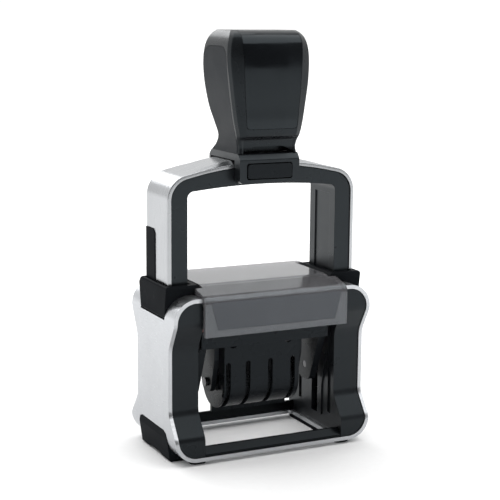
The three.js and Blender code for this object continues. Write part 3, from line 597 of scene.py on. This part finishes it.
def make_sill(label, end):
    outer = BASE_HALF_DEPTH - FRAME_INSET
    low = SHELL_BOTTOM + SHEET + GAP
    top = extent(f"{label}_sill")[1][2]
    corners = [
        (SILL_INNER, low), (outer, low), (outer, low + 0.7, 0.5), (17.2, top, 0.6), (SILL_INNER, top, 0.4),
    ]
    outline = rounded([(end * y, *rest) for y, *rest in corners], 6)
    finish_piece(
        prism(outline, "x", *both_ways(WINDOW_HALF_WIDTH - GAP)), f"sill_piece_{label}", "housing",
        [f"{label}_sill"], SILL_BLACK, 0.12)


def make_foot_clip(label, side):
    section = [
        (CLIP_INNER, 0), (35.4, 0), (36, 0.5), (HALF_WIDTH, 8, 3), (HALF_WIDTH, 12), (CLIP_INNER, 12),
    ]
    wedge = prism(rounded([(side * x, *rest) for x, *rest in section]), "y", *both_ways(14))
    plate = common(wedge, prism(clip_outline(0), "x", *sideways(side, CLIP_INNER)))
    arch = rounded([(-10, -1), (10, -1), (4, 1.1, 8), (-4, 1.1, 8)])
    cut(
        plate,
        prism(front_outline(SHEET - 0.02), "y", *both_ways(15)),
        prism(arch, "x", *sideways(side, FOOT_OUTER + 1)))
    foot = rounded_box((side * FOOT_INNER, side * FOOT_OUTER), both_ways(FOOT_HALF_DEPTH), 1.5)
    join(plate, prism(foot, "z", 0, FOOT_TOP))
    finish_piece(
        plate, f"foot_clip_piece_{label}", "housing", [f"foot_clip_{label}"],
        COLLAR_BLACK, 0.3)


def make_collar(label, side):
    corners = [
        (27.75, COLLAR_BOTTOM), (HALF_WIDTH, COLLAR_BOTTOM, 0.8), (HALF_WIDTH, COLLAR_TOP, 0.9),
        (25.6, COLLAR_TOP, 0.8), (COLLAR_INNER, COLLAR_TOP - 1.5, 0.8), (COLLAR_INNER, 53.6, 0.5),
        (27.75, 53.6),
    ]
    blank = prism(rounded([(side * x, *rest) for x, *rest in corners]), "y", *both_ways(13))
    body = common(blank, prism(collar_outline(0), "x", *sideways(side, 20)))
    cut(
        body,
        block(sideways(side, LEG_INNER - 0.2, 35.75), both_ways(9.75), (48, ABOVE_COLLARS)),
        block(sideways(side, LEG_INNER - 0.8, 36.1), both_ways(10.1), (COLLAR_TOP - 0.9, ABOVE_COLLARS)))
    finish_piece(
        body, f"collar_piece_{label}", "housing", [f"leg_collar_{label}"],
        COLLAR_BLACK, 0.3, 3)


# ---------------------------------------------------------------- index cover


def cover_line(inset, front_bottom, rear_bottom):
    """The cover from the side: up the face, along the slope and the top, and down the rear."""
    front = -COVER_FRONT + inset
    rear = COVER_REAR - inset
    top = COVER_TOP - inset
    corner = max(COVER_RADIUS - inset, 0.8)
    return [
        (front, front_bottom), (front, COVER_SHOULDER - inset, corner), (COVER_SLOPE_START, top, 8),
        (rear, top, corner), (rear, rear_bottom),
    ]


def collar_rooms():
    """The notches in the cover's sides that leave room for the collars."""
    depth = both_ways(COLLAR_HIGH_HALF_DEPTH + 0.35)
    return [block(sideways(side, 23.95, 30), depth, (40, ABOVE_COLLARS)) for _, side in SIDES]


def window_pane(grow, depth):
    """The pane over the card, set into the front of the cover."""
    half = [
        (22.0 + grow, COVER_SKIRT_BOTTOM + 2.3 - grow, 0.4),
        (24.6 + grow, COVER_SHOULDER - 1.6 + grow, 0.4),
    ]
    return prism(rounded(half + mirrored(half), 6), "y", -COVER_FRONT - 0.02, -COVER_FRONT + depth)


def make_index_cover():
    outer = cover_line(0, COVER_SKIRT_BOTTOM, COVER_END_BOTTOM)
    inner = cover_line(COVER_WALL, COVER_SKIRT_BOTTOM, COVER_END_BOTTOM)
    skin = prism(rounded(outer + inner[::-1]), "x", *both_ways(COVER_HALF_WIDTH))
    ends = []
    for _, side in SIDES:
        plate = prism(rounded(cover_line(0, 45, 45)), "x", *sideways(side, 25.3, COVER_HALF_WIDTH))
        room = block(both_ways(PAST_SIDE), both_ways(PAST_FRONT), (COVER_END_BOTTOM, ABOVE_HOUSING))
        ends.append(common(plate, room))
    body = cut(join(skin, *ends), *collar_rooms(), window_pane(0.05, 0.35))
    finish_piece(body, "cover_piece", "housing", ["index_cover"], SMOKE, 0.35, 3)
    finish_piece(window_pane(0, 0.3), "cover_window_piece", "housing", [], PANE, 0.06)


# ---------------------------------------------------------------- bow


# The arch's heights at a place in X are three shallow parabolas.

def underside_height(x):
    return 92.1 - 0.0021 * x * x


def core_height(x):
    return 98.2 - 0.0042 * x * x


def sheet_height(x):
    return 99.75 - 0.0043 * x * x


def arch_line(leg_x, foot, height, radius):
    """Corners of an arch line from the right foot over the top to the left foot."""
    corners = [(leg_x, foot), (leg_x, height(leg_x - 1), radius)]
    for i in range(round(2 * ARCH_SPAN / ARCH_STEP) + 1):
        x = ARCH_SPAN - i * ARCH_STEP
        corners.append((x, height(x)))
    corners += [(-leg_x, height(leg_x - 1), radius), (-leg_x, foot)]
    return corners


def strip_zone(side, grow):
    """The room of a black runner along the rear half of a leg's outside."""
    front = 1.4 - grow
    top = STRIP_TOP + grow
    outline = rounded([(front, 40), (10, 40), (10, top), (2.6, top), (front, top - 1.6)])
    return prism(outline, "x", *sideways(side, 34.1 - grow, 37))


def make_bow_core():
    outer = arch_line(CORE_OUTER, LEG_BOTTOM, core_height, 7.5)
    inner = arch_line(LEG_INNER, LEG_BOTTOM, underside_height, 2.4)
    body = prism(rounded(outer + inner[::-1]), "y", *both_ways(CORE_HALF_DEPTH))
    tools = [rod("y", LOCK_SPRING_BORE_RADIUS, -10, -5.2, 0, LOCK_SPRING_Z)]
    for _, side in SIDES:
        bore = rod("z", SPRING_BORE_RADIUS, LEG_BOTTOM - 1, SPRING_BORE_TOP, side * SPRING_X, SPRING_Y)
        pin_hole = rod("x", PIN_HOLE_RADIUS, *sideways(side, 27, 32), 0, PIVOT_HEIGHT)
        channel = block(sideways(side, 27, LEG_INNER + 0.45), both_ways(5.2), (42, 87))
        tools += [bore, pin_hole, channel]
    finish_piece(
        cut(body, *tools), "bow_core_piece", "bow", ["bow_core"], BOW_BLACK, 0.35, 3)


def ridge(x):
    """How far the sheet stands up along its middle."""
    return max(0.0, RIDGE * (1 - (x / ARCH_SPAN) ** 2))


def sheet_section(height):
    """Half depths and outward offsets over the sheet's back, from the front edge to the rear."""
    front = [
        (-LEG_HALF_DEPTH, -SHEET + 0.05), (-LEG_HALF_DEPTH, -0.3), (-LEG_HALF_DEPTH + 0.1, -0.1),
        (-LEG_HALF_DEPTH + 0.35, 0.03), (-6.9, height * 0.93), (-6.4, height), (-5.6, height),
    ]
    return front + [(-y, offset) for y, offset in reversed(front)]


def make_bow_sheet():
    path = rounded(arch_line(LEG_OUTER, BOW_SHEET_BOTTOM, sheet_height, 8.5), 20)
    rings = []
    for i, point in enumerate(path):
        before = path[max(i - 1, 0)]
        after = path[min(i + 1, len(path) - 1)]
        along = (after - before).normalized()
        outward = Vector((along.y, -along.x))
        rings.append([
            (point.x + outward.x * offset, y, point.y + outward.y * offset)
            for y, offset in sheet_section(ridge(point.x) if point.y > ARCH_BOTTOM else 0.0)
        ])
    body = cut(loft(rings), strip_zone(-1, GAP), strip_zone(1, GAP))
    finish_piece(body, "bow_sheet_piece", "bow", ["bow_sheet"], ALUMINIUM_BOW, 0.0)


def make_bow_strip(label, side):
    limits = block(sideways(side, 30, 35.45), (0, LEG_HALF_DEPTH), (BOW_SHEET_BOTTOM, ARCH_BOTTOM))
    body = common(strip_zone(side, 0), limits)
    finish_piece(
        body, f"strip_piece_{label}", "bow", [f"bow_strip_{label}"], COLLAR_BLACK, 0.2)


def button_face(grow, front, back):
    """The part of the button that shows in the saddle, or the hole for it."""
    height = (BUTTON_BOTTOM - grow, BUTTON_TOP + grow)
    return prism(rounded_box(both_ways(BUTTON_HALF_WIDTH + grow), height, 0.9, 6), "y", front, back)


def saddle_seat(depth):
    """The room for the arch under the saddle, which follows the sheet's ridge."""
    half = 12
    corners = [(-half, ARCH_BOTTOM), (half, ARCH_BOTTOM)]
    for x in range(half, -half - 1, -1):
        corners.append((x, sheet_height(x) + ridge(x) + 0.25))
    return prism(rounded(corners), "y", *both_ways(depth))


def make_saddle():
    half = saddle_high[0]
    low, top = saddle_low[2], saddle_high[2]
    front, rear = saddle_low[1], saddle_high[1]
    face = rounded([(-half, low, 1.6), (half, low, 1.6), (half, top), (-half, top)])
    side = rounded([
        (front, low, 0.5), (rear, low, 0.5), (rear, top - 1.8, 0.8), (rear - 1.9, top, 0.8),
        (front + 1.5, top, 1.0), (front, top - 1.9, 1.0),
    ])
    body = common(prism(face, "y", front, rear), prism(side, "x", *both_ways(half)))
    cut(
        body,
        saddle_seat(LEG_HALF_DEPTH + GAP),
        button_face(0.32, front - 1, -12),
        block(both_ways(9.6), (-12.4, -9), (BUTTON_BOTTOM - 0.8, BUTTON_TOP + 0.8)))
    finish_piece(body, "saddle_piece", "bow", ["handle_saddle"], BOW_BLACK, 0.35, 3)


def make_button():
    flange = block(both_ways(9.2), (-12.2, -11.3), (button_low[2], button_high[2]))
    body = join(button_face(0, button_low[1], -12), flange)
    finish_piece(
        body, "button_piece", "lock_button", ["lock_button"], BUTTON_BLACK, 0.3, 3)


# ---------------------------------------------------------------- handle

# Height below the top, half width, front and rear of the flat side, half width of the front panel,
# front and rear of the middle.
HANDLE_SECTIONS = [
    (40.5, 11.0, -12.0, 9.0, 9.4, -12.7, 10.4),
    (38.5, 10.8, -11.7, 6.3, 9.2, -12.3, 8.6),
    (36.1, 11.2, -12.2, 3.7, 9.2, -12.8, 6.4),
    (34.2, 11.6, -13.1, 3.1, 9.3, -14.9, 5.8),
    (30.1, 12.5, -13.3, 4.5, 9.6, -15.5, 7.2),
    (25.1, 13.3, -13.3, 6.8, 9.9, -15.6, 9.4),
    (17.5, 14.3, -13.4, 8.2, 10.4, -15.8, 10.8),
    (10.8, 14.9, -12.9, 8.0, 10.8, -15.8, 10.8),
    (5.8, 14.7, -12.4, 7.3, 11.0, -15.4, 10.2),
    (2.8, 13.9, -11.6, 6.2, 11.0, -14.4, 8.8),
    (1.0, 12.9, -10.3, 4.8, 10.8, -12.6, 7.0),
    (0.0, 11.9, -8.6, 3.4, 10.0, -10.2, 5.0),
]
HANDLE_STEPS = 8                  # rings between neighbouring sections
PANEL_BACK = -6.5
GRIP_DROP = 5.3                   # from the top of the handle to the top of its soft pads


def between(p0, p1, p2, p3, t):
    """Catmull-Rom interpolation of two neighbouring sections."""
    values = []
    for a, b, c, d in zip(p0, p1, p2, p3):
        values.append(0.5 * (
            2 * b + (c - a) * t + (2 * a - 5 * b + 4 * c - d) * t * t + (3 * b - a - 3 * c + d) * t ** 3))
    return values


def smooth_sections():
    """The handle's sections with the rings between them."""
    count = len(HANDLE_SECTIONS)
    rows = []
    for i in range(count - 1):
        p0 = HANDLE_SECTIONS[max(i - 1, 0)]
        p3 = HANDLE_SECTIONS[min(i + 2, count - 1)]
        for k in range(HANDLE_STEPS):
            rows.append(between(p0, HANDLE_SECTIONS[i], HANDLE_SECTIONS[i + 1], p3, k / HANDLE_STEPS))
    rows.append(HANDLE_SECTIONS[-1])
    return rows


def handle_ring(section, inset):
    """The handle's outline at one height."""
    drop, width, side_front, side_rear, panel, front, rear = section
    half = width - inset
    edge = min(panel, half - 0.8)
    right = [
        (edge * 0.5, front, 4.0), (edge, front + 0.25, 0.5), (half - 0.5, side_front - 0.7, 0.8),
        (half, side_front + 1.2, 0.5), (half, side_rear, 1.4), (half - 1.4, side_rear + 1.6, 1.4),
        (half * 0.65, rear - 0.5, 2.0), (half * 0.33, rear, 3.0),
    ]
    outline = rounded(right + mirrored(right), 5)
    return [(p.x, p.y, HANDLE_TOP - drop) for p in outline]


def handle_form(inset=0.0, back=0.0, down=0.0):
    """The whole handle, or one that is smaller or shifted, as a tool."""
    rings = [handle_ring(section, inset) for section in smooth_sections()]
    return loft([[(x, y + back, z - down) for x, y, z in ring] for ring in rings])


def panel_zone(grow):
    """The room of the gloss panel, which tapers to the neck."""
    half = [
        (9.2 + grow, HANDLE_TOP - 32.2 - grow, 1.2), (10.2 + grow, HANDLE_TOP - 19.3),
        (10.75 + grow, HANDLE_TOP - 4.8), (10.75 + grow, HANDLE_TOP + 8),
    ]
    return prism(rounded(half + mirrored(half)), "y", -20, PANEL_BACK + grow)


def grip_zone(side, grow):
    """The room of a soft pad: the outer skin of one side below the top."""
    top = HANDLE_TOP - GRIP_DROP + grow
    front, rear = -10.9 - grow, 7.6 + grow
    outline = rounded([(front, 100), (rear, 100), (rear, top, 5), (front, top, 5)])
    return cut(prism(outline, "x", *sideways(side, 5, 20)), handle_form(1.6 + grow))


def make_handle():
    neck_recess = rounded([
        (-9.4, 102), (9.4, 102), (9.4, 103.5, 0.4), (5.5, 105.1, 6), (-5.5, 105.1, 6), (-9.4, 103.5, 0.4),
    ])
    core = cut(
        handle_form(), prism(neck_recess, "y", -16, PANEL_BACK),
        cut(panel_zone(GAP), handle_form(-1, 1.5 + GAP, 1.1 + GAP)),
        grip_zone(-1, GAP), grip_zone(1, GAP))
    finish_piece(core, "handle_piece", "bow", ["handle_core"], HANDLE_BLACK, 0)
    panel = cut(common(handle_form(), panel_zone(0)), handle_form(-1, 1.5, 1.1))
    finish_piece(panel, "handle_panel_piece", "bow", ["handle_panel"], GLOSS, 0)
    for label, side in SIDES:
        grip = common(handle_form(), grip_zone(side, 0))
        finish_piece(grip, f"grip_piece_{label}", "bow", [f"handle_grip_{label}"], GRIP, 0)


# ---------------------------------------------------------------- die carriage


def wheel_cover_slots():
    """Tools for a slot over each wheel, with a round top, and two notches in the upper edge."""
    tools = []
    for _, rim in WHEELS:
        tools.append(block((rim - SLOT_HALF_WIDTH, rim + SLOT_HALF_WIDTH), (-12, SLOT_BACK), (5, SLOT_TOP)))
        tools.append(rod("y", SLOT_HALF_WIDTH, -12, -5, rim, SLOT_TOP))
    for x in (-11.0, 10.0):
        tools.append(rod("y", 1.5, -12, -5, x, WHEEL_COVER_TOP + 0.3))
    return tools


def wheel_cover_ribs():
    """Ribs on the lip of the wheel cover, on both sides of each wheel."""
    edges = [-WHEEL_COVER_HALF_WIDTH]
    for _, rim in WHEELS:
        edges += [rim - RIM_ROOM, rim + RIM_ROOM]
    edges.append(WHEEL_COVER_HALF_WIDTH)
    height = (WHEEL_Z - WHEEL_COVER_INNER - 0.5, WHEEL_Z - 6.8)
    return [block(span, LIP_Y, height) for span in zip(edges[::2], edges[1::2])]


def wheel_cover_ends():
    """Thin round plates that close the ends of the wheel cover."""
    outer = WHEEL_COVER_OUTER
    outline = rounded([
        (-outer, WHEEL_COVER_TOP), (-outer, WHEEL_Z - outer, outer - 0.01),
        (outer, WHEEL_Z - outer, outer - 0.01), (outer, WHEEL_Z + 3, 3), (LIP_Y[1], WHEEL_COVER_TOP),
    ], 24)
    half = WHEEL_COVER_HALF_WIDTH
    return [prism(outline, "x", *sideways(side, half - WHEEL_COVER_END, half)) for _, side in SIDES]


def make_wheel_cover():
    outer, inner = WHEEL_COVER_OUTER, WHEEL_COVER_INNER
    across = both_ways(WHEEL_COVER_HALF_WIDTH)
    line = rounded([
        (-outer, WHEEL_COVER_TOP), (-outer, WHEEL_Z - outer, outer - 0.01), (LIP_Y[1], WHEEL_Z - outer),
        (LIP_Y[1], WHEEL_Z - inner), (-inner, WHEEL_Z - inner, inner - 0.01), (-inner, WHEEL_COVER_TOP),
    ], 24)
    lip = block(across, LIP_Y, (wheel_cover_low[2], WHEEL_Z - inner))
    body = cut(join(prism(line, "x", *across), lip), *wheel_cover_slots())
    join(body, *wheel_cover_ribs(), *wheel_cover_ends())
    cut(body, rod("x", END_HOLE_RADIUS, -20, 20, 0, WHEEL_Z))
    finish_piece(
        body, "wheel_cover_piece", "die_carriage", ["wheel_cover"], CARRIAGE, 0.2, 3)


def make_wheel(name, rim):
    outline = []
    for i in range(4 * WHEEL_TEETH):
        angle = math.pi * i / (2 * WHEEL_TEETH)
        radius = WHEEL_RADIUS if i % 4 in (0, 1) else WHEEL_RADIUS - TOOTH_DEPTH
        outline.append(Vector((radius * math.cos(angle), WHEEL_Z + radius * math.sin(angle))))
    disc = prism(outline, "x", rim - RIM_HALF_THICKNESS, rim + RIM_HALF_THICKNESS)
    low, high = extent(f"{name}_wheel")
    hub_left = low[0] if low[0] < rim - 1 else rim
    hub_right = high[0] if high[0] > rim + 1 else rim
    hub = rod("x", HUB_RADIUS, hub_left, hub_right, 0, WHEEL_Z)
    body = cut(join(disc, hub), rod("x", SHAFT_HOLE_RADIUS, -20, 20, 0, WHEEL_Z))
    finish_piece(
        body, f"{name}_wheel_piece", f"{name}_wheel", [f"{name}_wheel"], WHEEL, 0.0)


# ---------------------------------------------------------------- CAD nodes that stay

KEPT_FINISHES = {
    "top_deck": HOUSING_BLACK, "ink_tray": HOUSING_BLACK, "index_card": CARD,
    "ink_felt_text": BLUE_FELT, "ink_felt_date": RED_FELT,
    "return_spring_left": STEEL, "return_spring_right": STEEL, "lock_button_spring": STEEL,
    "wheel_shaft": DARK_STEEL, "pivot_pin_left": DARK_STEEL, "pivot_pin_right": DARK_STEEL,
    "cam_pin_left": DARK_STEEL, "cam_pin_right": DARK_STEEL,
    "carriage_frame": CARRIAGE, "band_bridge": CARRIAGE, "text_plate": DIE,
    "day_band": BAND, "month_band": BAND, "decade_band": BAND, "year_band": BAND,
}
ROUNDED_NODES = ["top_deck", "ink_tray", "index_card", "carriage_frame", "text_plate"]


def dress_kept_nodes():
    """Gives the remaining CAD nodes their finishes, and the larger ones soft edges."""
    for name, material in KEPT_FINISHES.items():
        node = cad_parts[name]
        node.data.materials.clear()
        node.data.materials.append(material)
        if name in ROUNDED_NODES:
            weld = node.modifiers.new("weld", "WELD")
            weld.merge_threshold = WELD_DISTANCE * MM
            flat = node.modifiers.new("flat", "DECIMATE")
            flat.decimate_type = "DISSOLVE"
            flat.angle_limit = FLAT
            bevel = node.modifiers.new("bevel", "BEVEL")
            bevel.width = 0.2 * MM
            bevel.segments = 2
            bevel.limit_method = "ANGLE"
            bevel.angle_limit = SHARP


# ---------------------------------------------------------------- studio, in metres

FLOOR_HALF = 6.0
SEEN_BACKGROUND = 1.05            # strength of the white that the camera sees


def make_floor():
    """A pale paper floor that glows a little away from the stamp."""
    bm = bmesh.new()
    bmesh.ops.create_grid(bm, x_segments=1, y_segments=1, size=FLOOR_HALF)
    floor = new_object("studio_floor", bm)
    finish = Finish("studio_paper", Roughness=0.85, Emission_Color=(1, 1, 1, 1))
    speck = finish.noise(400, 3)
    finish.tint(speck, (0.93, 0.93, 0.93), (0.95, 0.95, 0.95))
    distance = finish.nodes.new("ShaderNodeVectorMath")
    distance.operation = "LENGTH"
    finish.links.new(finish.space, distance.inputs[0])
    glow = map_range(finish.nodes, (0.08, 0.35), (0.0, 0.3))
    finish.links.new(distance.outputs["Value"], glow.inputs["Value"])
    finish.links.new(glow.outputs["Result"], finish.shader.inputs["Emission Strength"])
    floor.data.materials.append(finish.material)


def area_light(name, power, size, place, target):
    data = bpy.data.lights.new(name, "AREA")
    data.shape = "RECTANGLE"
    data.size, data.size_y = size
    data.energy = power
    light = bpy.data.objects.new(name, data)
    light.location = place
    light.rotation_euler = (Vector(target) - Vector(place)).to_track_quat("-Z", "Y").to_euler()
    bpy.context.scene.collection.objects.link(light)


def sun_light(name, strength, softness, direction):
    data = bpy.data.lights.new(name, "SUN")
    data.energy = strength
    data.angle = softness
    light = bpy.data.objects.new(name, data)
    light.rotation_euler = Vector(direction).to_track_quat("Z", "Y").to_euler()
    bpy.context.scene.collection.objects.link(light)


def make_world():
    """White to the camera, and for light bright behind the stamp and dim in front of it."""
    world = bpy.data.worlds.new("studio")
    bpy.context.scene.world = world
    world.use_nodes = True
    nodes, links = world.node_tree.nodes, world.node_tree.links
    background = nodes["Background"]
    place = nodes.new("ShaderNodeTexCoord")
    split = nodes.new("ShaderNodeSeparateXYZ")
    links.new(place.outputs["Generated"], split.inputs["Vector"])
    ramp = map_range(nodes, (-0.9, 0.5), (0.12, 1.1))
    links.new(split.outputs["Y"], ramp.inputs["Value"])
    seen = nodes.new("ShaderNodeLightPath")
    choice = nodes.new("ShaderNodeMix")
    choice.inputs["B"].default_value = SEEN_BACKGROUND
    links.new(seen.outputs["Is Camera Ray"], choice.inputs["Factor"])
    links.new(ramp.outputs["Result"], choice.inputs["A"])
    links.new(choice.outputs["Result"], background.inputs["Strength"])
    background.inputs["Color"].default_value = (1, 1, 1, 1)


def make_studio():
    make_floor()
    make_world()
    middle = (0, 0, 0.07)
    sun_light("sky", 1.3, math.radians(60), (-0.1, 0.35, 1.0))
    area_light("back", 4.0, (0.9, 0.35), (-0.25, 1.5, 0.8), middle)
    area_light("top", 1.9, (0.6, 0.5), (0.3, -0.25, 0.65), middle)
    area_light("right", 0.5, (0.15, 0.5), (0.55, -0.45, 0.25), middle)
    bpy.context.scene.view_settings.view_transform = "Standard"


# ---------------------------------------------------------------- build

make_shell()
for label, side in SIDES:
    make_side_frame(label, side)
    make_foot_clip(label, side)
    make_collar(label, side)
    make_bow_strip(label, side)
for label, end in ENDS:
    make_sill(label, end)
make_index_cover()
make_bow_core()
make_bow_sheet()
make_saddle()
make_button()
make_handle()
make_wheel_cover()
for name, rim in WHEELS:
    make_wheel(name, rim)
dress_kept_nodes()
make_studio()

bpy.context.view_layer.update()
